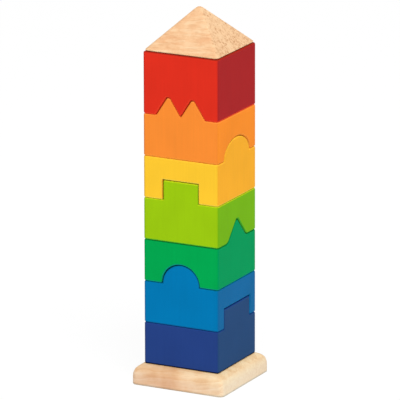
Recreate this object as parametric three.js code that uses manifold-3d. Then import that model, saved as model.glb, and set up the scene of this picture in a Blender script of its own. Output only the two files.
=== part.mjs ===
// A wooden stacking tower: a square base plate with a fixed peg, seven painted blocks that key into
// each other crosswise, and a pyramid roof. Millimetres, +Z up, standing on z = 0 with the peg's axis
// on the Z axis. The front of the tower is the -Y side.
import * as THREE from "three";
import { mergeVertices } from "three/addons/utils/BufferGeometryUtils.js";
import Module from "manifold-3d";

const wasm = await Module();
wasm.setup();

// Blocks: square in plan, all with the same distance from shoulder to shoulder
const BLOCK_WIDTH = 60;
const SHOULDER_PITCH = 31;
const TOP_BLOCK_HEIGHT = 45.5; // the uppermost block carries no key and ends flat
const STICK_RADIUS = 2; // rounded upright edges of the square stick that the blocks are sawn from
const EDGE_EASE = 1.1; // sanded rounding of the sawn edges
const CORNER_SPARE = 0.3; // a sawn corner is rounded this much more than the sanded edges that meet it
const SEAT_GAP = 0.05; // paint film between two faces that rest on each other

// Keys: how high each stands and how much shoulder it leaves on either side
const KEY_HEIGHT = 14.5; // of the rectangles and the single tooth
const KEY_CLEARANCE = 0.4; // air between a key and the keyway over it
const WIDE_TENON_SHOULDER = 10;
const NARROW_TENON_SHOULDER = 16;
const ARCH_SHOULDER = 15.3; // the arch between its shoulders is a half circle
const DOME_SHOULDER = 10.2;
const DOME_HEIGHT = 13.8;
const TOOTH_SHOULDER = 15.5;
const TOOTH_TIP = 2.5; // the flat that blunts the single tooth
const TOOTH_FOOT_RADIUS = 6; // the hollow where the single tooth runs into its shoulder
const ZIGZAG_SHOULDER = 10.6;
const ZIGZAG_TEETH = 2;
const ZIGZAG_HEIGHT = 13.2;
const ZIGZAG_TIP = 2.4;

// Base plate: a board with a routed quarter round along its upper edge
const BASE_MARGIN = 7; // how far it stands out past the blocks
const BASE_THICKNESS = 15;
const BASE_ROUND_OVER = 9;
const BASE_CORNER_RADIUS = 3;
const BASE_EDGE_EASE = 0.6; // along the underside
const BASE_FLOOR = 4; // wood left under the peg's blind bore

// Peg: a dowel glued into the base plate, free in the blocks and in the roof
const PEG_DIAMETER = 14;
const PEG_GLUE_GAP = 0.2;
const PEG_TIP_RADIUS = 3;
const PEG_REACH = 11; // how far it stands into the roof
const BORE_CLEARANCE = 0.8;

// Roof: a pyramid on the same plan as the blocks, resting on the tip of the peg
const ROOF_GAP = 0.4; // air between the roof and the uppermost block
const ROOF_HEIGHT = 30.6; // to the point where its faces would meet
const ROOF_TIP_RADIUS = 3.5;
const ROOF_CORNER_RADIUS = 3; // rounding of its four corners in plan
const ROOF_EDGE_EASE = 0.6; // along the eaves
const ROOF_HIP_EASE = 0.6; // wood sanded off along the four hips

// Fineness of the curved faces
const CHORD_ERROR = 0.04; // how far a flat facet may lie inside the arc that it stands for
const EASE_STEPS = 2;
const ROUND_SIDES = 32;
const SAW_MARGIN = 2; // how far a cutting shape runs past the wood that it cuts

const CORNER_RADIUS = EDGE_EASE + CORNER_SPARE;

// Arc about a centre, from one angle to another, with both ends
function arc(centre, radiusX, radiusY, from, to) {
  const widestStep = 2 * Math.acos(1 - CHORD_ERROR / Math.max(radiusX, radiusY));
  const steps = Math.ceil(Math.abs(to - from) / widestStep);
  return Array.from({ length: steps + 1 }, (_, i) => {
    const angle = from + ((to - from) * i) / steps;
    const offset = new THREE.Vector2(radiusX * Math.cos(angle), radiusY * Math.sin(angle));
    return offset.add(centre);
  });
}

// Outline through corners given as [across, up, radius]; a corner with a radius is rounded by it
function outline(corners) {
  const at = corners.map(([across, up]) => new THREE.Vector2(across, up));
  return corners.flatMap(([, , radius = 0], i) => {
    if (radius === 0) {
      return [at[i]];
    }
    const back = at.at(i - 1).clone().sub(at[i]).normalize();
    const onward = at[(i + 1) % at.length].clone().sub(at[i]).normalize();
    const halfAngle = Math.acos(back.dot(onward)) / 2;
    const inward = back.clone().add(onward).normalize();
    const centre = at[i].clone().addScaledVector(inward, radius / Math.sin(halfAngle));
    const sweep = Math.PI - 2 * halfAngle;
    const turn = Math.sign(onward.cross(back));
    const middle = Math.atan2(-inward.y, -inward.x);
    return arc(centre, radius, radius, middle - (turn * sweep) / 2, middle + (turn * sweep) / 2);
  });
}

// A key's corners run from its right foot over the top to its left foot, above a shoulder at zero.
// Each key is a function of the clearance by which its faces are moved outwards, so that the same
// function gives the key and the keyway that drops over it.
const noKey = () => [];

function tenon(shoulder) {
  return (clearance) => {
    const half = BLOCK_WIDTH / 2 - shoulder + clearance;
    const top = KEY_HEIGHT + clearance;
    return [[half, 0], [half, top, CORNER_RADIUS], [-half, top, CORNER_RADIUS], [-half, 0]];
  };
}

function dome(shoulder, height) {
  return (clearance) => {
    const half = BLOCK_WIDTH / 2 - shoulder + clearance;
    const centre = new THREE.Vector2(0, 0);
    return arc(centre, half, height + clearance, 0, Math.PI).map((point) => [point.x, point.y]);
  };
}

// A row of blunt teeth side by side, with their outer feet hollowed by footRadius
function teeth({ shoulder, count, height, tip, footRadius = 0 }) {
  const halfTooth = (BLOCK_WIDTH / 2 - shoulder) / count;
  const slope = height / (halfTooth - tip / 2);
  return (clearance) => {
    const flankShift = (clearance * Math.hypot(1, slope)) / slope;
    const halfTip = tip / 2 + flankShift - clearance / slope;
    const outerFoot = count * halfTooth + flankShift;
    const corners = [[outerFoot, 0, footRadius]];
    for (let i = 0; i < count; i += 1) {
      const middle = (count - 1 - 2 * i) * halfTooth;
      if (i > 0) {
        corners.push([middle + halfTooth, slope * flankShift]);
      }
      corners.push([middle + halfTip, height + clearance]);
      corners.push([middle - halfTip, height + clearance]);
    }
    corners.push([-outerFoot, 0, footRadius]);
    return corners;
  };
}

// Bar of one outline running along Y, centred, its ends rounded over by ease
function bar(points, length, ease) {
  const geometry = new THREE.ExtrudeGeometry(new THREE.Shape(points), {
    depth: length - 2 * ease,
    bevelEnabled: ease > 0,
    bevelSize: ease,
    bevelThickness: ease,
    bevelOffset: -ease,
    bevelSegments: EASE_STEPS,
  });
  geometry.translate(0, 0, ease - length / 2);
  return geometry.rotateX(Math.PI / 2);
}

// Upright prism of one outline
function upright(points, bottom, top) {
  const shape = new THREE.Shape(points);
  const geometry = new THREE.ExtrudeGeometry(shape, { depth: top - bottom, bevelEnabled: false });
  return geometry.translate(0, 0, bottom);
}

function squarePlan(half, radius) {
  return outline([
    [-half, -half, radius],
    [half, -half, radius],
    [half, half, radius],
    [-half, half, radius],
  ]);
}

// Round shape about Z from a profile of [radius, height] that starts and ends on the axis
function turned(profile) {
  const points = profile.map(([radius, height]) => new THREE.Vector2(radius, height));
  return new THREE.LatheGeometry(points, ROUND_SIDES).rotateX(Math.PI / 2);
}

function plainCylinder(radius, bottom, top) {
  return turned([[0, bottom], [radius, bottom], [radius, top], [0, top]]);
}

function solidOf(geometry) {
  const bare = geometry.clone().deleteAttribute("normal").deleteAttribute("uv");
  const merged = mergeVertices(bare);
  return new wasm.Manifold(new wasm.Mesh({
    numProp: 3,
    vertProperties: merged.getAttribute("position").array,
    triVerts: new Uint32Array(merged.getIndex().array),
  }));
}

function geometryOf(solid) {
  const mesh = solid.getMesh();
  const geometry = new THREE.BufferGeometry();
  geometry.setAttribute("position", new THREE.BufferAttribute(mesh.vertProperties, mesh.numProp));
  geometry.setIndex(new THREE.BufferAttribute(mesh.triVerts, 1));
  geometry.computeVertexNormals();
  return geometry;
}

// What is left where a bar along Y and a bar along X cross
function crossed(alongY, alongX) {
  return solidOf(alongY).intersect(solidOf(alongX.rotateZ(Math.PI / 2)));
}

const tower = new THREE.Group();
tower.name = "stacking_tower";

function addPiece(name, geometry, { color, roughness }, height = 0) {
  const material = new THREE.MeshStandardMaterial({ color, roughness, metalness: 0 });
  const piece = new THREE.Mesh(geometry, material);
  piece.name = name;
  piece.position.z = height;
  tower.add(piece);
  return piece;
}

const PLAIN_WOOD = { color: 0xf3cd9b, roughness: 0.6 };
const BORE_RADIUS = PEG_DIAMETER / 2 + BORE_CLEARANCE;
const HALF_BLOCK = BLOCK_WIDTH / 2;

// One block, its lower shoulder at zero, its key running along Y and its keyway along X. The front
// outline is sawn with the key, the side outline with the keyway, and the peg's bore goes through both.
function blockGeometry(height, key, keyway) {
  const over = key(0).map(([across, up, radius]) => [across, up + height, radius]);
  const front = outline([
    [-HALF_BLOCK, 0],
    [HALF_BLOCK, 0],
    [HALF_BLOCK, height, CORNER_RADIUS],
    ...over,
    [-HALF_BLOCK, height, CORNER_RADIUS],
  ]);
  const wide = HALF_BLOCK + SAW_MARGIN;
  const tall = Math.max(...front.map((point) => point.y)) + SAW_MARGIN;
  const under = keyway(KEY_CLEARANCE).reverse();
  const side = outline([[-wide, 0], ...under, [wide, 0], [wide, tall], [-wide, tall]]);
  const stick = upright(squarePlan(HALF_BLOCK, STICK_RADIUS), -SAW_MARGIN, tall);
  const bore = plainCylinder(BORE_RADIUS, -SAW_MARGIN, tall);
  const sawn = crossed(bar(front, BLOCK_WIDTH, EDGE_EASE), bar(side, BLOCK_WIDTH, EDGE_EASE));
  return geometryOf(sawn.intersect(solidOf(stick)).subtract(solidOf(bore)));
}

// From the bottom up: every key is shared with the block above as its keyway. Neighbouring keys run
// at right angles to each other, the first of them along X.
const BLOCKS = [
  { name: "indigo_block", color: 0x254082, key: tenon(WIDE_TENON_SHOULDER) },
  { name: "blue_block", color: 0x0078b6, key: dome(ARCH_SHOULDER, HALF_BLOCK - ARCH_SHOULDER) },
  {
    name: "green_block",
    color: 0x02a84c,
    key: teeth({
      shoulder: TOOTH_SHOULDER,
      count: 1,
      height: KEY_HEIGHT,
      tip: TOOTH_TIP,
      footRadius: TOOTH_FOOT_RADIUS,
    }),
  },
  { name: "lime_block", color: 0x9bcb14, key: tenon(NARROW_TENON_SHOULDER) },
  { name: "yellow_block", color: 0xffc830, key: dome(DOME_SHOULDER, DOME_HEIGHT) },
  {
    name: "orange_block",
    color: 0xfb9035,
    key: teeth({
      shoulder: ZIGZAG_SHOULDER,
      count: ZIGZAG_TEETH,
      height: ZIGZAG_HEIGHT,
      tip: ZIGZAG_TIP,
    }),
  },
  { name: "red_block", color: 0xdf3020, key: noKey },
];

BLOCKS.forEach(({ name, color, key }, i) => {
  const height = (key === noKey ? TOP_BLOCK_HEIGHT : SHOULDER_PITCH) - SEAT_GAP;
  const keyBelow = i > 0 ? BLOCKS[i - 1].key : noKey;
  const geometry = blockGeometry(height, key, keyBelow);
  const seat = BASE_THICKNESS + SEAT_GAP + i * SHOULDER_PITCH;
  const block = addPiece(name, geometry, { color, roughness: 0.4 }, seat);
  block.rotation.z = i % 2 === 0 ? Math.PI / 2 : 0;
});

const ROOF_SEAT = BASE_THICKNESS + (BLOCKS.length - 1) * SHOULDER_PITCH + TOP_BLOCK_HEIGHT + ROOF_GAP;

// Base plate: the same rounded-over outline both ways, its four corners rounded in plan
function baseGeometry() {
  const half = HALF_BLOCK + BASE_MARGIN;
  const edge = outline([
    [-half, 0, BASE_EDGE_EASE],
    [half, 0, BASE_EDGE_EASE],
    [half, BASE_THICKNESS, BASE_ROUND_OVER],
    [-half, BASE_THICKNESS, BASE_ROUND_OVER],
  ]);
  const long = 2 * (half + SAW_MARGIN);
  const above = BASE_THICKNESS + SAW_MARGIN;
  const board = upright(squarePlan(half, BASE_CORNER_RADIUS), -SAW_MARGIN, above);
  const bore = plainCylinder(PEG_DIAMETER / 2 + PEG_GLUE_GAP, BASE_FLOOR, above);
  const plate = crossed(bar(edge, long, 0), bar(edge, long, 0));
  return geometryOf(plate.intersect(solidOf(board)).subtract(solidOf(bore)));
}

addPiece("base_plate", baseGeometry(), PLAIN_WOOD);

// Peg: from the floor of its bore in the base plate up into the roof, its tip rounded
function pegGeometry() {
  const length = ROOF_SEAT + PEG_REACH - BASE_FLOOR - SEAT_GAP;
  const shaft = PEG_DIAMETER / 2;
  const tipCentre = new THREE.Vector2(shaft - PEG_TIP_RADIUS, length - PEG_TIP_RADIUS);
  const tip = arc(tipCentre, PEG_TIP_RADIUS, PEG_TIP_RADIUS, 0, Math.PI / 2);
  return turned([[0, 0], [shaft, 0], ...tip.map((point) => [point.x, point.y]), [0, length]]);
}

addPiece("centre_peg", pegGeometry(), PLAIN_WOOD, BASE_FLOOR + SEAT_GAP);

// Roof: the same gable outline both ways, a lower one across the corners that takes the sharpness off
// the hips, corners rounded in plan, and a blind bore that drops over the peg
function gable(half, height, eavesEase) {
  return outline([
    [-half, 0, eavesEase],
    [half, 0, eavesEase],
    [0, height, ROOF_TIP_RADIUS],
  ]);
}

function roofGeometry() {
  const hipHalf = HALF_BLOCK * Math.SQRT2 - ROOF_HIP_EASE;
  const hipHeight = (ROOF_HEIGHT * hipHalf) / (HALF_BLOCK * Math.SQRT2);
  const long = 2 * (hipHalf + SAW_MARGIN);
  const faceBar = () => bar(gable(HALF_BLOCK, ROOF_HEIGHT, ROOF_EDGE_EASE), long, 0);
  const hipBar = () => bar(gable(hipHalf, hipHeight, 0), long, 0).rotateZ(Math.PI / 4);
  const pyramid = crossed(faceBar(), faceBar()).intersect(crossed(hipBar(), hipBar()));
  const plan = upright(squarePlan(HALF_BLOCK, ROOF_CORNER_RADIUS), -SAW_MARGIN, ROOF_HEIGHT);
  const bore = plainCylinder(BORE_RADIUS, -SAW_MARGIN, PEG_REACH + SEAT_GAP);
  return geometryOf(pyramid.intersect(solidOf(plan)).subtract(solidOf(bore)));
}

addPiece("roof", roofGeometry(), PLAIN_WOOD, ROOF_SEAT);

export default tower;
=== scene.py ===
# A wooden stacking tower: a base plate with a fixed peg, seven coloured blocks that key into each other
# crosswise, and a pyramid roof. Metres, +Z up, standing on z = 0 with the front towards -Y.
import math

import bmesh
import bpy
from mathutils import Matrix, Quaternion, Vector


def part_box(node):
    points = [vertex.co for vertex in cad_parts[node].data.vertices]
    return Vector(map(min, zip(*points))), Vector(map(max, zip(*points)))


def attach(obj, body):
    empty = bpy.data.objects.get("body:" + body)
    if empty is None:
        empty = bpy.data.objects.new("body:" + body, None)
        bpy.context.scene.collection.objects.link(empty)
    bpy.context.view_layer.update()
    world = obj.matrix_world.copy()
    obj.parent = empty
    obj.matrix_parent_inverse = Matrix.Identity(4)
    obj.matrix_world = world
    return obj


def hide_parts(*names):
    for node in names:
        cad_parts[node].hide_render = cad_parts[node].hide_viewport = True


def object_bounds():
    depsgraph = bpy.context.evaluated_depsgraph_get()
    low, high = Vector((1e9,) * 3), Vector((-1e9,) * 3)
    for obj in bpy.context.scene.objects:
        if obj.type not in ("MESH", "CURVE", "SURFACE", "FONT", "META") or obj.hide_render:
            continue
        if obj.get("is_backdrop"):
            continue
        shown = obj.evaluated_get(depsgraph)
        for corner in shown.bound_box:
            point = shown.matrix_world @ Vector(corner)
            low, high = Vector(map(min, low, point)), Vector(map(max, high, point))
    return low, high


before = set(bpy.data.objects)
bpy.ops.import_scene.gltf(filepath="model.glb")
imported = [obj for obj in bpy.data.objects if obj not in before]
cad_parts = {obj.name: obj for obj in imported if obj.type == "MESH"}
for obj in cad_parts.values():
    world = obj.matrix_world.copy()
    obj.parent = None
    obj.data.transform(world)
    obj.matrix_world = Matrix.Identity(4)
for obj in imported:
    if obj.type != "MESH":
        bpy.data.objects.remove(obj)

cad_low, cad_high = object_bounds()

# Base plate: a square board of rubberwood with a quarter round routed along its upper edge.
# Its corners are rounded in plan and sanded soft, a blind bore takes the peg, and the wood is left
# plain under a thin clear lacquer.
MM = 0.001
BASE_ROUND_OVER = 9 * MM
BASE_CORNER_RADIUS = 4 * MM
BASE_MITRE_RADIUS = 2.2 * MM  # where two routed edges meet, softened by sanding
BASE_UNDERSIDE_EASE = 0.6 * MM
BASE_FLOOR = 4 * MM  # the wood left under the blind bore
BASE_CONTACT_SHADOW_HEIGHT = 1.8 * MM  # height of the painted contact shadow that greys the lowest edge
RIM_EASE = 0.5 * MM  # countersink at the mouth of a bore
GLUE_GAP = 0.2 * MM
ARC_STEPS = 10
RING_CORNER_STEPS = 7
RING_SIDE_STEPS = 8
RING_COUNT = 4 * (RING_CORNER_STEPS + RING_SIDE_STEPS)
RING_WELD = 0.001 * MM
CREASE_ANGLE = math.radians(35)


def rounded(corners, closed=False):
    """Points of an outline through corners (across, up, radius), each rounded by its radius."""
    points = []
    for i, (across, up, *radius) in enumerate(corners):
        at = Vector((across, up))
        is_end = not closed and i in (0, len(corners) - 1)
        if is_end or not radius or radius[0] == 0:
            points.append(at)
            continue
        back = (Vector(corners[i - 1][:2]) - at).normalized()
        onward = (Vector(corners[(i + 1) % len(corners)][:2]) - at).normalized()
        half_angle = back.angle(onward) / 2
        inward = (back + onward).normalized()
        centre = at + inward * radius[0] / math.sin(half_angle)
        sweep = math.pi - 2 * half_angle
        turn = 1 if back.x * onward.y - back.y * onward.x < 0 else -1
        for step in range(ARC_STEPS + 1):
            angle = turn * sweep * (step / ARC_STEPS - 0.5)
            x, y = -inward * radius[0]
            cosine, sine = math.cos(angle), math.sin(angle)
            points.append(centre + Vector((x * cosine - y * sine, x * sine + y * cosine)))
    return points


def square_ring(half, radius, height):
    """Level ring of a square with rounded corners."""
    flat = half - radius
    turns = [math.pi / 2 * i / RING_CORNER_STEPS for i in range(RING_CORNER_STEPS + 1)]
    corner = [(flat + radius * math.cos(t), flat + radius * math.sin(t)) for t in turns]
    side = [(half, -flat + 2 * flat * i / RING_SIDE_STEPS) for i in range(1, RING_SIDE_STEPS)]
    return [
        Vector((x * cosine - y * sine, x * sine + y * cosine, height))
        for cosine, sine in ((1, 0), (0, 1), (-1, 0), (0, -1))
        for x, y in side + corner
    ]


def round_ring(radius, height):
    """Level circle with as many points as a square ring, starting at about the same bearing."""
    start = math.atan2(-1 + 2 / RING_SIDE_STEPS, 1)
    turns = [start + 2 * math.pi * i / RING_COUNT for i in range(RING_COUNT)]
    return [Vector((radius * math.cos(t), radius * math.sin(t), height)) for t in turns]


def lofted(name, rings):
    """Closed piece skinned from ring to ring, with a flat face over the first and the last ring."""
    made = bmesh.new()
    loops = [[made.verts.new(point) for point in ring] for ring in rings]
    for lower, upper in zip(loops, loops[1:]):
        for i in range(RING_COUNT):
            after = (i + 1) % RING_COUNT
            made.faces.new((lower[i], lower[after], upper[after], upper[i]))
    made.faces.new(reversed(loops[0]))
    made.faces.new(loops[-1])
    bmesh.ops.remove_doubles(made, verts=made.verts, dist=RING_WELD)
    bmesh.ops.recalc_face_normals(made, faces=made.faces)
    for face in made.faces:
        face.smooth = True
    mesh = bpy.data.meshes.new(name)
    made.to_mesh(mesh)
    made.free()
    mesh.set_sharp_from_angle(angle=CREASE_ANGLE)
    piece = bpy.data.objects.new(name, mesh)
    bpy.context.scene.collection.objects.link(piece)
    return piece


def linear(code):
    """Linear colour of an sRGB hex code."""
    channels = [int(code[i : i + 2], 16) / 255 for i in (1, 3, 5)]
    return [c / 12.92 if c <= 0.04045 else ((c + 0.055) / 1.055) ** 2.4 for c in channels] + [1]


def add_node(tree, kind, inputs=None, stops=(), **settings):
    """Adds a node with its settings; each input is a value, a socket, or a list of sockets.

    Stops are the places and hex codes along a colour ramp.
    """
    node = tree.nodes.new(kind)
    for setting, value in settings.items():
        setattr(node, setting, value)
    for socket, value in (inputs or {}).items():
        if isinstance(value, bpy.types.NodeSocket):
            tree.links.new(value, node.inputs[socket])
        elif isinstance(value, list) and isinstance(value[0], bpy.types.NodeSocket):
            for source in value:
                tree.links.new(source, node.inputs[socket])
        else:
            node.inputs[socket].default_value = value
    if stops:
        marks = node.color_ramp.elements
        for mark, (position, code) in ((marks[0], stops[0]), (marks[-1], stops[-1])):
            mark.position = position
            mark.color = linear(code)
        for position, code in stops[1:-1]:
            marks.new(position).color = linear(code)
    return node


def new_material(name):
    """Material with an empty node tree."""
    material = bpy.data.materials.new(name)
    material.use_nodes = True
    material.node_tree.nodes.clear()
    return material


# Rubberwood under clear lacquer: pale peach and cream in soft blotches, with a faint figure and growth
# rings along the grain. Its open pores are brown specks on end grain, and on long grain they barely show
# beside the fine lines of its vessels.
FIGURE_WIDTH = 3.5 * MM
FIGURE_LENGTH = 45 * MM
FIGURE_SLANT = math.radians(-7)
GROWTH_RING_WIDTH = 4.5 * MM
GROWTH_RING_SWAY = 22 * MM  # how far along the grain a growth ring runs before it sways
BLOTCH_SIZE = 13 * MM
PORE_SPACING = 1.9 * MM  # drawn about twice as coarse as real pores, so that they show
PORE_LENGTH = 8 * MM
FLECK_SIZE = 2.2 * MM
VESSEL_WIDTH = 0.9 * MM  # drawn about twice as coarse as real vessels, so that they show
VESSEL_LENGTH = 12 * MM
PORE_RELIEF = 0.1 * MM
BLOTCH_SHARE = 0.65  # how much of the shading is blotches; the figure makes the rest
GROWTH_RING_SHARE = 0.12
END_SHARE = 0.75  # how far end grain takes on its own colour
LONG_PORES = 0.25  # how strongly pores show on long grain, beside those on end grain
VESSEL_DEPTH = 0.25


def rubberwood(name, grain, tones, end, pore, end_marks, end_band, tints=()):
    """Wood with its grain along X, Y or Z; tones run from its darkest figure to its palest.

    End is the colour of its end grain, where pores show as strongly as end marks says. The end band is
    how far a face turns to the grain's end as its pores open. Each tint is a ramp (axis, start, stop,
    colours) that shades the wood along that axis.
    """
    material = new_material(name)
    tree = material.node_tree
    coordinates = add_node(tree, "ShaderNodeTexCoord")
    place, facing = coordinates.outputs["Object"], coordinates.outputs["Normal"]
    along_grain = {}
    for pattern, width, length, slant in (
        ("figure", FIGURE_WIDTH, FIGURE_LENGTH, FIGURE_SLANT),
        ("growth rings", GROWTH_RING_WIDTH, GROWTH_RING_SWAY, FIGURE_SLANT),
        ("pores", PORE_SPACING, PORE_LENGTH, 0),
        ("vessels", VESSEL_WIDTH, VESSEL_LENGTH, FIGURE_SLANT),
    ):
        sizes = [length if axis == grain else width for axis in "XYZ"]
        along_grain[pattern] = add_node(
            tree,
            "ShaderNodeMapping",
            {"Vector": place, "Rotation": (0, slant, 0), "Scale": sizes},
            vector_type="TEXTURE",
        ).outputs[0]

    figure = add_node(
        tree,
        "ShaderNodeTexNoise",
        {"Vector": along_grain["figure"], "Scale": 1, "Detail": 3, "Roughness": 0.55, "Distortion": 0.5},
    )
    blotches = add_node(
        tree,
        "ShaderNodeTexNoise",
        {"Vector": place, "Scale": 1 / BLOTCH_SIZE, "Detail": 3, "Roughness": 0.6},
    )
    growth_rings = add_node(
        tree,
        "ShaderNodeTexWave",
        {
            "Vector": along_grain["growth rings"],
            "Scale": math.pi / 10,  # one ring to each ring width
            "Distortion": 10,
            "Detail": 2,
            "Detail Scale": 1.5,
        },
        bands_direction="X" if grain == "Z" else "Z",
        wave_profile="SAW",
    )
    clouded = add_node(
        tree,
        "ShaderNodeMix",
        {0: BLOTCH_SHARE, 2: figure.outputs["Fac"], 3: blotches.outputs["Fac"]},
        data_type="FLOAT",
    )
    shading = add_node(
        tree,
        "ShaderNodeMix",
        {0: GROWTH_RING_SHARE, 2: clouded.outputs[0], 3: growth_rings.outputs["Fac"]},
        data_type="FLOAT",
    )
    dark, middle, light = tones
    tone = add_node(
        tree,
        "ShaderNodeValToRGB",
        {"Fac": shading.outputs[0]},
        stops=((0.36, dark), (0.5, middle), (0.64, light)),
    )
    axes = add_node(tree, "ShaderNodeSeparateXYZ", {0: facing})
    endwards = add_node(tree, "ShaderNodeMath", {0: axes.outputs[grain]}, operation="ABSOLUTE")
    end_grain = add_node(
        tree,
        "ShaderNodeMapRange",
        {"Value": endwards.outputs[0], "From Min": end_band[0], "From Max": end_band[1]},
        interpolation_type="SMOOTHSTEP",
    )
    end_share = add_node(
        tree, "ShaderNodeMath", {0: end_grain.outputs[0], 1: END_SHARE}, operation="MULTIPLY"
    )
    toned = add_node(
        tree,
        "ShaderNodeMix",
        {0: end_share.outputs[0], 6: tone.outputs[0], 7: linear(end)},
        data_type="RGBA",
    )
    spot = add_node(tree, "ShaderNodeSeparateXYZ", {0: place})
    for axis, start, stop, colours in tints:
        along = add_node(
            tree,
            "ShaderNodeMapRange",
            {"Value": spot.outputs[axis], "From Min": start, "From Max": stop},
        )
        tint = add_node(tree, "ShaderNodeValToRGB", {"Fac": along.outputs[0]}, stops=colours)
        toned = add_node(
            tree,
            "ShaderNodeMix",
            {0: 1, 6: toned.outputs[2], 7: tint.outputs[0]},
            data_type="RGBA",
            blend_type="MULTIPLY",
        )

    pore_cells = add_node(tree, "ShaderNodeTexVoronoi", {"Vector": along_grain["pores"], "Scale": 1})
    pore_lottery = add_node(tree, "ShaderNodeSeparateColor", {0: pore_cells.outputs["Color"]})
    pores = add_node(
        tree,
        "ShaderNodeMapRange",
        {
            "Value": pore_cells.outputs["Distance"],
            "From Min": 0.1,
            "From Max": 0.6,
            "To Min": pore_lottery.outputs[0],
            "To Max": 0,
        },
        interpolation_type="SMOOTHSTEP",
    )
    flecks = add_node(
        tree,
        "ShaderNodeTexNoise",
        {"Vector": place, "Scale": 1 / FLECK_SIZE, "Detail": 2, "Roughness": 0.6},
    )
    fleck_depth = add_node(
        tree,
        "ShaderNodeMapRange",
        {"Value": flecks.outputs["Fac"], "From Min": 0.44, "From Max": 0.72, "To Min": 0, "To Max": 0.6},
    )
    marks = add_node(
        tree, "ShaderNodeMath", {0: pores.outputs[0], 1: fleck_depth.outputs[0]}, operation="MAXIMUM"
    )
    gathered = add_node(
        tree,
        "ShaderNodeMapRange",
        {"Value": blotches.outputs["Fac"], "From Min": 0.62, "From Max": 0.42, "To Min": 0.4, "To Max": 1},
    )
    clusters = add_node(
        tree, "ShaderNodeMath", {0: marks.outputs[0], 1: gathered.outputs[0]}, operation="MULTIPLY"
    )
    pore_share = add_node(
        tree,
        "ShaderNodeMapRange",
        {"Value": end_grain.outputs[0], "To Min": LONG_PORES * end_marks, "To Max": end_marks},
    )
    open_pores = add_node(
        tree, "ShaderNodeMath", {0: clusters.outputs[0], 1: pore_share.outputs[0]}, operation="MULTIPLY"
    )
    vessels = add_node(
        tree, "ShaderNodeTexNoise", {"Vector": along_grain["vessels"], "Scale": 1, "Detail": 1}
    )
    vessel_depth = add_node(
        tree,
        "ShaderNodeMapRange",
        {"Value": end_grain.outputs[0], "To Min": VESSEL_DEPTH, "To Max": 0},
    )
    vessel_lines = add_node(
        tree,
        "ShaderNodeMapRange",
        {
            "Value": vessels.outputs["Fac"],
            "From Min": 0.55,
            "From Max": 0.72,
            "To Min": 0,
            "To Max": vessel_depth.outputs[0],
        },
    )
    pore_depth = add_node(
        tree,
        "ShaderNodeMath",
        {0: open_pores.outputs[0], 1: vessel_lines.outputs[0]},
        operation="MAXIMUM",
    )
    colour = add_node(
        tree,
        "ShaderNodeMix",
        {0: pore_depth.outputs[0], 6: toned.outputs[2], 7: linear(pore)},
        data_type="RGBA",
    )
    relief = add_node(
        tree,
        "ShaderNodeBump",
        {"Height": pore_depth.outputs[0], "Strength": 0.15, "Distance": PORE_RELIEF},
        invert=True,
    )
    gloss = add_node(
        tree, "ShaderNodeMapRange", {"Value": figure.outputs["Fac"], "To Min": 0.5, "To Max": 0.64}
    )
    shader = add_node(
        tree,
        "ShaderNodeBsdfPrincipled",
        {
            "Base Color": colour.outputs[2],
            "Roughness": gloss.outputs[0],
            "Normal": relief.outputs[0],
            "IOR": 1.5,
            "Specular IOR Level": 0.2,
        },
    )
    add_node(tree, "ShaderNodeOutputMaterial", {"Surface": shader.outputs[0]})
    return material


base_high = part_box("base_plate")[1]
base_half, base_top = base_high.x, base_high.z
peg_low, peg_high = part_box("centre_peg")
peg_radius = peg_high.x
base_profile = rounded([
    (0, 0),
    (base_half, 0, BASE_UNDERSIDE_EASE),
    (base_half, base_top, BASE_ROUND_OVER),
    (0, base_top),
])
base_rings = [
    square_ring(half, max(BASE_CORNER_RADIUS - (base_half - half), BASE_MITRE_RADIUS), height)
    for half, height in base_profile[1:-1]
]
base_bore = peg_radius + GLUE_GAP
base_rings += [
    round_ring(base_bore + RIM_EASE, base_top),
    round_ring(base_bore, base_top - RIM_EASE),
    round_ring(base_bore, BASE_FLOOR),
]
base_plate = lofted("base_plate_wood", base_rings)

heartwood_colours = ((0, "#F6ECEA"), (0.43, "#EDD6CB"), (0.53, "#F8E8DE"), (1, "#FFFFFF"))
heartwood = ("X", -base_half, base_half, heartwood_colours)
# Painted contact shadow: the wood is greyed blue over its lowest edge, as shade where it stands on the
# floor
painted_contact_shadow = ("Z", 0, BASE_CONTACT_SHADOW_HEIGHT, ((0, "#BCCFDC"), (1, "#FFFFFF")))
yellowed_top = ("Z", base_top - BASE_ROUND_OVER, base_top, ((0, "#FFFFFF"), (1, "#FFFFF0")))
base_wood = rubberwood(
    "rubberwood_board_clear_lacquer",
    grain="X",
    tones=("#E9C299", "#F4D6B1", "#FAE5C8"),
    end="#F7E5C8",
    pore="#CE9C68",
    end_marks=0.4,
    end_band=(0.72, 0.97),
    tints=(heartwood, painted_contact_shadow, yellowed_top),
)
base_plate.data.materials.append(base_wood)
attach(base_plate, "base")
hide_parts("base_plate")

# Centre peg: a turned dowel of the same plain wood, glued upright into the base plate, with its tip
# rounded so that the blocks drop over it easily. Its grain runs up the dowel.
PEG_TIP_RADIUS = 3 * MM
PEG_FOOT_EASE = 0.5 * MM
peg_profile = rounded([
    (0, peg_low.z),
    (peg_radius, peg_low.z, PEG_FOOT_EASE),
    (peg_radius, peg_high.z, PEG_TIP_RADIUS),
    (0, peg_high.z),
])
centre_peg = lofted("centre_peg_dowel", [round_ring(radius, z) for radius, z in peg_profile[1:-1]])
peg_wood = rubberwood(
    "rubberwood_dowel_clear_lacquer",
    grain="Z",
    tones=("#E6B58C", "#F0C69C", "#F8DAB8"),
    end="#EEC9A0",
    pore="#C4935F",
    end_marks=0.6,
    end_band=(0.15, 0.7),
)
centre_peg.data.materials.append(peg_wood)
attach(centre_peg, "base")
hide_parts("centre_peg")

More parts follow.
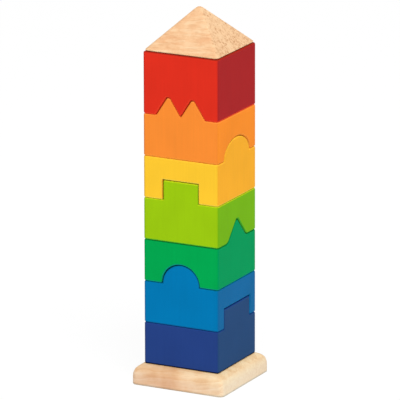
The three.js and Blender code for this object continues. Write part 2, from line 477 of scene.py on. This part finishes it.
# The seven blocks: sawn from one square stick of wood with rounded upright edges. Each has a key sawn
# along its top and the keyway for the key below sawn across its underside. Its outward edges are sanded
# round, the bore for the peg is drilled, and it is dyed and sealed with a nearly matt varnish.
STICK_RADIUS = 2 * MM
STICK_RADIUS_STEPS = 8
EDGE_EASE = 1.1 * MM
EDGE_EASE_STEPS = 4
EDGE_EASE_FROM = math.radians(30)  # outward edges that turn more than this are sanded
KEY_CLEARANCE = 0.4 * MM
KEY_PLAY = 0.3 * MM  # each block rests a little to one side of the key it sits on
BORE_CLEARANCE = 0.8 * MM
SEAT_GAP = 0.05 * MM
WIDE_TENON_SHOULDER = 10 * MM
NARROW_TENON_SHOULDER = 16 * MM
ARCH_SHOULDER = 15.3 * MM
DOME_SHOULDER = 10.2 * MM
TOOTH_SHOULDER = 15.5 * MM
TOOTH_TIP = 2.5 * MM
TOOTH_FOOT_RADIUS = 6 * MM
ZIGZAG_SHOULDER = 10.6 * MM
ZIGZAG_TIP = 2.4 * MM
CURVE_STEPS = 48
SAW_MARGIN = 3 * MM  # how far a sawing shape runs past the stick
SAW_WELD = 0.005 * MM
BLOCK_CREASE_ANGLE = math.radians(36)

block_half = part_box("indigo_block")[1].x
bore_radius = peg_radius + BORE_CLEARANCE
saw_half = block_half + SAW_MARGIN
saw_length = 4 * saw_half  # longer than a block is wide or tall


# Outlines of the keys, each from its right foot over its top to its left foot. A keyway has the outline
# of its key, widened by a clearance.
def no_key(height, clearance):
    return []


def tenon(shoulder):
    def corners(height, clearance):
        half = block_half - shoulder + clearance
        top = height + clearance
        return [(half, 0), (half, top), (-half, top), (-half, 0)]

    return corners


def dome(shoulder):
    def corners(height, clearance):
        half = block_half - shoulder + clearance
        turns = [math.pi * i / CURVE_STEPS for i in range(CURVE_STEPS + 1)]
        return [(half * math.cos(t), (height + clearance) * math.sin(t)) for t in turns]

    return corners


def teeth(shoulder, count, tip, foot_radius=0):
    def corners(height, clearance):
        half_tooth = (block_half - shoulder) / count
        slope = height / (half_tooth - tip / 2)
        flank_shift = clearance * math.hypot(1, slope) / slope
        half_tip = tip / 2 + flank_shift - clearance / slope
        outer_foot = count * half_tooth + flank_shift
        points = [(outer_foot, 0, foot_radius)]
        for i in range(count):
            middle = (count - 1 - 2 * i) * half_tooth
            if i > 0:
                points.append((middle + half_tooth, slope * flank_shift))
            points.append((middle + half_tip, height + clearance))
            points.append((middle - half_tip, height + clearance))
        points.append((-outer_foot, 0, foot_radius))
        return points

    return corners


def outline_curve(name, corners):
    """Closed flat curve of an outline, as a saw pattern."""
    points = rounded(corners, closed=True)
    curve = bpy.data.curves.new(name, "CURVE")
    spline = curve.splines.new("POLY")
    spline.points.add(len(points) - 1)
    for target, point in zip(spline.points, points):
        target.co = (point.x, point.y, 0, 1)
    spline.use_cyclic_u = True
    return bpy.data.objects.new(name, curve)


def finished_mesh(piece):
    """Plain mesh of a piece as its modifiers leave it."""
    evaluated = piece.evaluated_get(bpy.context.evaluated_depsgraph_get())
    return bpy.data.meshes.new_from_object(evaluated)


# Geometry nodes that saw one block: the key's outline runs along Y and the keyway's along X, and where
# both bars and the stick meet is the block, which is then turned and lifted to its place
saw = bpy.data.node_groups.new("keyed_block", "GeometryNodeTree")
saw.interface.new_socket("Block", in_out="OUTPUT", socket_type="NodeSocketGeometry")
saw_inputs = {
    name: saw.interface.new_socket(name, in_out="INPUT", socket_type=kind).identifier
    for name, kind in (
        ("Key Outline", "NodeSocketObject"),
        ("Keyway Outline", "NodeSocketObject"),
        ("Width", "NodeSocketFloat"),
        ("Upright Edge Radius", "NodeSocketFloat"),
        ("Saw Length", "NodeSocketFloat"),
        ("Lower Shoulder", "NodeSocketFloat"),
        ("Turn", "NodeSocketFloat"),
        ("Paint", "NodeSocketMaterial"),
    )
}
given = add_node(saw, "NodeGroupInput").outputs
path_start = add_node(saw, "ShaderNodeMath", {0: given["Saw Length"], 1: -0.5}, operation="MULTIPLY")
path_end = add_node(saw, "ShaderNodeMath", {0: given["Saw Length"], 1: 0.5}, operation="MULTIPLY")
path = add_node(
    saw,
    "GeometryNodeCurvePrimitiveLine",
    {
        "Start": add_node(saw, "ShaderNodeCombineXYZ", {"Z": path_start.outputs[0]}).outputs[0],
        "End": add_node(saw, "ShaderNodeCombineXYZ", {"Z": path_end.outputs[0]}).outputs[0],
    },
)
bars = []
for pattern, bearing in (("Key Outline", 0), ("Keyway Outline", math.pi / 2)):
    shape = add_node(
        saw, "GeometryNodeObjectInfo", {"Object": given[pattern]}, transform_space="ORIGINAL"
    )
    swept = add_node(
        saw,
        "GeometryNodeCurveToMesh",
        {"Curve": path.outputs[0], "Profile Curve": shape.outputs["Geometry"], "Fill Caps": True},
    )
    laid = add_node(
        saw,
        "GeometryNodeTransform",
        {"Geometry": swept.outputs[0], "Rotation": (math.pi / 2, 0, bearing)},
    )
    bars.append(laid.outputs[0])
plan = add_node(
    saw,
    "GeometryNodeCurvePrimitiveQuadrilateral",
    {"Width": given["Width"], "Height": given["Width"]},
)
eased_plan = add_node(
    saw,
    "GeometryNodeFilletCurve",
    {"Curve": plan.outputs[0], "Count": STICK_RADIUS_STEPS, "Radius": given["Upright Edge Radius"]},
    mode="POLY",
)
stick = add_node(
    saw,
    "GeometryNodeCurveToMesh",
    {"Curve": path.outputs[0], "Profile Curve": eased_plan.outputs[0], "Fill Caps": True},
)
crossed = add_node(
    saw,
    "GeometryNodeMeshBoolean",
    {"Mesh 2": [*bars, stick.outputs[0]]},
    operation="INTERSECT",
    solver="EXACT",
)
clean = add_node(
    saw, "GeometryNodeMergeByDistance", {"Geometry": crossed.outputs[0], "Distance": SAW_WELD}
)
edge_angle = add_node(saw, "GeometryNodeInputMeshEdgeAngle")
sticks_out = add_node(
    saw,
    "FunctionNodeCompare",
    {0: edge_angle.outputs["Signed Angle"], 1: EDGE_EASE_FROM},
    operation="GREATER_THAN",
)
to_sand = add_node(
    saw,
    "GeometryNodeStoreNamedAttribute",
    {"Geometry": clean.outputs[0], "Name": "bevel_weight_edge", "Value": sticks_out.outputs[0]},
    data_type="FLOAT",
    domain="EDGE",
)
seated = add_node(
    saw,
    "GeometryNodeTransform",
    {
        "Geometry": to_sand.outputs[0],
        "Translation": add_node(saw, "ShaderNodeCombineXYZ", {"Z": given["Lower Shoulder"]}).outputs[0],
        "Rotation": add_node(saw, "ShaderNodeCombineXYZ", {"Z": given["Turn"]}).outputs[0],
    },
)
whole = add_node(saw, "GeometryNodeRealizeInstances", {"Geometry": seated.outputs[0]})
painted = add_node(
    saw, "GeometryNodeSetMaterial", {"Geometry": whole.outputs[0], "Material": given["Paint"]}
)
add_node(saw, "NodeGroupOutput", {0: painted.outputs[0]})

# Dyed and varnished wood: an even, saturated stain with the grain just showing as faint upright streaks.
# The sides are painted a little darker or lighter than the front, as painted shade and light. The top and
# underside take the dye a little differently as end grain, and are also painted darker or lighter as shade
# and light along the seams between blocks. The rounded upright edges are painted darker as painted shade.
# The varnish is thin and nearly matt.
GRAIN_WIDTH = 1.6 * MM
GRAIN_LENGTH = 40 * MM
GRAIN_RELIEF = 0.1 * MM
CLOUD_SIZE = 26 * MM
STREAK_SHADES = (0.975, 1.02)
CLOUD_SHADES = (0.965, 1.03)
EDGE_PAINTED_SHADE = 0.87  # painted shade: the brightness along the rounded upright edges


def dyed_wood(name, front, side, top, underside):
    """Dye on the faces towards +-Y, with colours painted darker or lighter as shade and light on the faces
    towards +-X, and on the end grain above and below, which also takes the dye a little differently.
    """
    material = new_material(name)
    tree = material.node_tree
    coordinates = add_node(tree, "ShaderNodeTexCoord")
    place, facing = coordinates.outputs["Object"], coordinates.outputs["Normal"]
    axes = add_node(tree, "ShaderNodeSeparateXYZ", {0: facing})
    sideways = add_node(tree, "ShaderNodeMath", {0: axes.outputs["X"]}, operation="ABSOLUTE")
    downwards = add_node(tree, "ShaderNodeMath", {0: axes.outputs["Z"], 1: -1}, operation="MULTIPLY")
    dye_and_painted_shade = linear(front)
    # The sides, the top and the underside are painted darker or lighter than the front as painted shade and
    # light; on the end grain this also stands for the dye's own difference.
    for share, (low, high), face_colour in (
        (sideways.outputs[0], (0.5, 0.9), side),
        (axes.outputs["Z"], (0.2, 0.7), top),
        (downwards.outputs[0], (0.0, 0.25), underside),
    ):
        turned = add_node(
            tree,
            "ShaderNodeMapRange",
            {"Value": share, "From Min": low, "From Max": high},
            interpolation_type="SMOOTHSTEP",
        )
        dye_and_painted_shade = add_node(
            tree,
            "ShaderNodeMix",
            {0: turned.outputs[0], 6: dye_and_painted_shade, 7: linear(face_colour)},
            data_type="RGBA",
        ).outputs[2]

    upright = add_node(
        tree,
        "ShaderNodeMapping",
        {"Vector": place, "Scale": (1 / GRAIN_WIDTH, 1 / GRAIN_WIDTH, 1 / GRAIN_LENGTH)},
    )
    grain = add_node(
        tree,
        "ShaderNodeTexNoise",
        {"Vector": upright.outputs[0], "Scale": 1, "Detail": 3, "Roughness": 0.6},
    )
    clouds = add_node(
        tree, "ShaderNodeTexNoise", {"Vector": place, "Scale": 1 / CLOUD_SIZE, "Detail": 1}
    )
    slanted = add_node(
        tree, "ShaderNodeMath", {0: axes.outputs["X"], 1: axes.outputs["Y"]}, operation="MULTIPLY"
    )
    on_edge = add_node(tree, "ShaderNodeMath", {0: slanted.outputs[0]}, operation="ABSOLUTE")
    shade = 1
    # Grain streaks and clouds are the dye's own tone; the darker rounded upright edges are painted shade.
    for pattern, (low, high), (darkest, brightest) in (
        (grain.outputs["Fac"], (0.3, 0.7), STREAK_SHADES),
        (clouds.outputs["Fac"], (0.3, 0.7), CLOUD_SHADES),
        (on_edge.outputs[0], (0.5, 0), (EDGE_PAINTED_SHADE, 1)),
    ):
        factor = add_node(
            tree,
            "ShaderNodeMapRange",
            {"Value": pattern, "From Min": low, "From Max": high, "To Min": darkest, "To Max": brightest},
        )
        shade = add_node(
            tree, "ShaderNodeMath", {0: shade, 1: factor.outputs[0]}, operation="MULTIPLY"
        ).outputs[0]
    colour = add_node(tree, "ShaderNodeVectorMath", {0: dye_and_painted_shade, "Scale": shade}, operation="SCALE")
    relief = add_node(
        tree,
        "ShaderNodeBump",
        {"Height": grain.outputs["Fac"], "Strength": 0.12, "Distance": GRAIN_RELIEF},
    )
    gloss = add_node(
        tree, "ShaderNodeMapRange", {"Value": grain.outputs["Fac"], "To Min": 0.52, "To Max": 0.66}
    )
    shader = add_node(
        tree,
        "ShaderNodeBsdfPrincipled",
        {
            "Base Color": colour.outputs[0],
            "Roughness": gloss.outputs[0],
            "Normal": relief.outputs[0],
            "IOR": 1.5,
            "Specular IOR Level": 0.02,
        },
    )
    add_node(tree, "ShaderNodeOutputMaterial", {"Surface": shader.outputs[0]})
    return material


# From the bottom up: colour, its dye on the front, its colours on the sides, the top and the underside,
# painted darker or lighter than the front as shade and light, and its key
BLOCKS = [
    ("indigo", ("#264285", "#2A4D7C", "#204488", "#10163A"), tenon(WIDE_TENON_SHOULDER)),
    ("blue", ("#0079B5", "#186CA5", "#006C9C", "#0C6AA6"), dome(ARCH_SHOULDER)),
    (
        "green",
        ("#00A850", "#009E5C", "#00863E", "#10A084"),
        teeth(TOOTH_SHOULDER, 1, TOOTH_TIP, TOOTH_FOOT_RADIUS),
    ),
    ("lime", ("#9CCA10", "#79BA18", "#BED21A", "#54BC30"), tenon(NARROW_TENON_SHOULDER)),
    ("yellow", ("#FFCA32", "#FDB330", "#FFC83C", "#FFDA50"), dome(DOME_SHOULDER)),
    ("orange", ("#FA8E34", "#FF932E", "#FF9A40", "#FFA03E"), teeth(ZIGZAG_SHOULDER, 2, ZIGZAG_TIP)),
    ("red", ("#E0301F", "#AE2729", "#A82A1A", "#F4442A"), no_key),
]
drill_ends = (cad_low.z - SAW_MARGIN, cad_high.z)
drill = lofted("drill", [round_ring(bore_radius, height) for height in drill_ends])
key_below, key_below_height = no_key, 0
for i, (colour, dyes_and_painted_shades, key) in enumerate(BLOCKS):
    node = f"{colour}_block"
    low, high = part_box(node)
    above = BLOCKS[i + 1][0] if i + 1 < len(BLOCKS) else None
    upper_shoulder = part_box(f"{above}_block")[0].z - SEAT_GAP if above else high.z
    height = upper_shoulder - low.z
    key_height = high.z - upper_shoulder
    saw_top = height + key_height + SAW_MARGIN
    over = [(across, up + height, *radius) for across, up, *radius in key(key_height, 0)]
    under = [
        (across + KEY_PLAY, up, *radius)
        for across, up, *radius in key_below(key_below_height, KEY_CLEARANCE)[::-1]
    ]
    key_pattern = outline_curve(
        "key_pattern",
        [(-saw_half, -SAW_MARGIN), (saw_half, -SAW_MARGIN), (saw_half, height), *over, (-saw_half, height)],
    )
    keyway_pattern = outline_curve(
        "keyway_pattern",
        [(-saw_half, 0), *under, (saw_half, 0), (saw_half, saw_top), (-saw_half, saw_top)],
    )
    sawn = bpy.data.objects.new("sawn_block", bpy.data.meshes.new("sawn_block"))
    bpy.context.scene.collection.objects.link(sawn)
    sawing = sawn.modifiers.new("sawing", "NODES")
    sawing.node_group = saw
    for name, value in (
        ("Key Outline", key_pattern),
        ("Keyway Outline", keyway_pattern),
        ("Width", 2 * block_half),
        ("Upright Edge Radius", STICK_RADIUS),
        ("Saw Length", saw_length),
        ("Lower Shoulder", low.z),
        ("Turn", math.pi / 2 if i % 2 == 0 else 0.0),
        ("Paint", dyed_wood(f"{colour}_dyed_wood_matt_varnish", *dyes_and_painted_shades)),
    ):
        sawing[saw_inputs[name]] = value
    sanding = sawn.modifiers.new("sanding", "BEVEL")
    sanding.width = EDGE_EASE
    sanding.segments = EDGE_EASE_STEPS
    sanding.limit_method = "WEIGHT"
    sanding.use_clamp_overlap = False
    drilling = sawn.modifiers.new("drilling", "BOOLEAN")
    drilling.object = drill
    drilling.solver = "EXACT"
    shaped = finished_mesh(sawn)
    for face in shaped.polygons:
        face.use_smooth = True
    shaped.set_sharp_from_angle(angle=BLOCK_CREASE_ANGLE)
    sawn.modifiers.clear()
    sawn.data = shaped
    shading = sawn.modifiers.new("shading", "WEIGHTED_NORMAL")
    shading.keep_sharp = True
    mesh = finished_mesh(sawn)
    mesh.name = f"{node}_wood"
    for spent in (sawn, key_pattern, keyway_pattern):
        bpy.data.objects.remove(spent)
    block = bpy.data.objects.new(f"{node}_wood", mesh)
    bpy.context.scene.collection.objects.link(block)
    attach(block, colour)
    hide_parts(node)
    key_below, key_below_height = key, key_height
bpy.data.objects.remove(drill)

# Roof: a four-sided pyramid of plain rubberwood on the same plan as the blocks, sawn and sanded with soft
# eaves, hips and tip. A blind bore in its underside drops over the peg and rests on the peg's tip.
ROOF_POINT_HEIGHT = 30.6 * MM  # where its four faces would meet
ROOF_HALF = 30 * MM  # where its faces would meet the underside
ROOF_TIP_RADIUS = 3.5 * MM
ROOF_TIP_FLAT = 0.05 * MM  # half-width at which the tip is closed by a flat
ROOF_EAVES_EASE = 0.6 * MM
ROOF_HIP_RADIUS = 1.5 * MM
ROOF_CORNER_RADIUS = 3 * MM  # the four corners, rounded more than the hips above them
ROOF_CORNER_HEIGHT = 2 * MM
roof_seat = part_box("roof")[0].z
roof_profile = rounded([
    (0, roof_seat),
    (ROOF_HALF, roof_seat, ROOF_EAVES_EASE),
    (0, roof_seat + ROOF_POINT_HEIGHT, ROOF_TIP_RADIUS),
    (-ROOF_HALF, roof_seat),
])


def hip_radius(up):
    """Radius of the hips at a height above the underside, growing towards the corners."""
    corner_share = max(0, 1 - up / ROOF_CORNER_HEIGHT)
    return ROOF_HIP_RADIUS + (ROOF_CORNER_RADIUS - ROOF_HIP_RADIUS) * corner_share


roof_rings = [
    round_ring(bore_radius, peg_high.z + SEAT_GAP),
    round_ring(bore_radius, roof_seat + RIM_EASE),
    round_ring(bore_radius + RIM_EASE, roof_seat),
]
roof_rings += [
    square_ring(half, min(half, hip_radius(height - roof_seat)), height)
    for half, height in roof_profile[1:]
    if half > ROOF_TIP_FLAT
]
roof = lofted("roof_wood", roof_rings)
roof_wood = rubberwood(
    "rubberwood_block_clear_lacquer",
    grain="X",
    tones=("#EBB687", "#F1C496", "#F6D3A9"),
    end="#F7D0A2",
    pore="#B06A34",
    end_marks=1.15,
    end_band=(0.2, 0.9),
)
roof.data.materials.append(roof_wood)
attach(roof, "roof")
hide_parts("roof")

# Floor and light: a plain white paper sweep under a wide soft box high at the front right, with white
# all round. The floor is seen as mostly plain white, and the rest of its look takes the shadow.
FLOOR_HALF = 8
FLOOR_WHITE_SHARE = 0.9
FLOOR_WHITE = 1.02  # makes up for the paper's own look, a little under white
WORLD_LIGHT = 0.45
SOFT_BOX_POWER = 170
SOFT_BOX_SIZE = 2.5
SOFT_BOX_PLACE = Vector((1.72, -2.06, 4.25))
floor_mesh = bpy.data.meshes.new("floor")
floor_corners = [(x * FLOOR_HALF, y * FLOOR_HALF, 0) for x, y in ((-1, -1), (1, -1), (1, 1), (-1, 1))]
floor_mesh.from_pydata(floor_corners, [], [range(4)])
floor = bpy.data.objects.new("floor", floor_mesh)
bpy.context.scene.collection.objects.link(floor)
floor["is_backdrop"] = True


def seen_directly(tree):
    """1 for rays that come from the camera, a reflection or through glass."""
    rays = add_node(tree, "ShaderNodeLightPath").outputs
    seen = add_node(
        tree, "ShaderNodeMath", {0: rays["Is Camera Ray"], 1: rays["Is Glossy Ray"]}, operation="MAXIMUM"
    )
    return add_node(
        tree, "ShaderNodeMath", {0: seen.outputs[0], 1: rays["Is Transmission Ray"]}, operation="MAXIMUM"
    ).outputs[0]


paper = new_material("white_paper_sweep")
tree = paper.node_tree
lit = add_node(tree, "ShaderNodeBsdfDiffuse", {"Color": linear("#FDFDFD")})
white = add_node(tree, "ShaderNodeEmission", {"Color": (1, 1, 1, 1), "Strength": FLOOR_WHITE})
white_share = add_node(
    tree, "ShaderNodeMath", {0: seen_directly(tree), 1: FLOOR_WHITE_SHARE}, operation="MULTIPLY"
)
sweep = add_node(
    tree, "ShaderNodeMixShader", {0: white_share.outputs[0], 1: lit.outputs[0], 2: white.outputs[0]}
)
add_node(tree, "ShaderNodeOutputMaterial", {"Surface": sweep.outputs[0]})
floor_mesh.materials.append(paper)

world = bpy.data.worlds.new("white_room")
bpy.context.scene.world = world
world.use_nodes = True
tree = world.node_tree
tree.nodes.clear()
ambient = add_node(tree, "ShaderNodeBackground", {"Color": (1, 1, 1, 1), "Strength": WORLD_LIGHT})
backdrop = add_node(tree, "ShaderNodeBackground", {"Color": (1, 1, 1, 1), "Strength": 1})
room = add_node(
    tree, "ShaderNodeMixShader", {0: seen_directly(tree), 1: ambient.outputs[0], 2: backdrop.outputs[0]}
)
add_node(tree, "ShaderNodeOutputWorld", {"Surface": room.outputs[0]})

lamp = bpy.data.lights.new("soft_box", "AREA")
lamp.energy = SOFT_BOX_POWER
lamp.size = SOFT_BOX_SIZE
soft_box = bpy.data.objects.new("soft_box", lamp)
soft_box.location = SOFT_BOX_PLACE
soft_box.rotation_euler = (-SOFT_BOX_PLACE).to_track_quat("-Z", "Y").to_euler()
bpy.context.scene.collection.objects.link(soft_box)

# Camera: a long lens from the front right and a little above, aimed near the middle of the tower
CAMERA_BEARING = math.radians(27.278)
CAMERA_RISE = math.radians(15.681)
CAMERA_ROLL = math.radians(-0.119)
CAMERA_DISTANCE = 4
CAMERA_AIM = Vector((0.0001, 0.0001, 0.13317))
CAMERA_LENS = 502.2  # millimetres, as is the sensor's width
CAMERA_SENSOR = 36
camera_data = bpy.data.cameras.new("camera")
camera_data.lens = CAMERA_LENS
camera_data.sensor_width = CAMERA_SENSOR
camera = bpy.data.objects.new("camera", camera_data)
towards_camera = Vector((
    math.sin(CAMERA_BEARING) * math.cos(CAMERA_RISE),
    -math.cos(CAMERA_BEARING) * math.cos(CAMERA_RISE),
    math.sin(CAMERA_RISE),
))
camera.location = CAMERA_AIM + towards_camera * CAMERA_DISTANCE
level_view = (-towards_camera).to_track_quat("-Z", "Y")
camera.rotation_euler = (level_view @ Quaternion((0, 0, 1), CAMERA_ROLL)).to_euler()
bpy.context.scene.collection.objects.link(camera)
bpy.context.scene.camera = camera
bpy.context.scene.view_settings.view_transform = "Standard"

low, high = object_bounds()
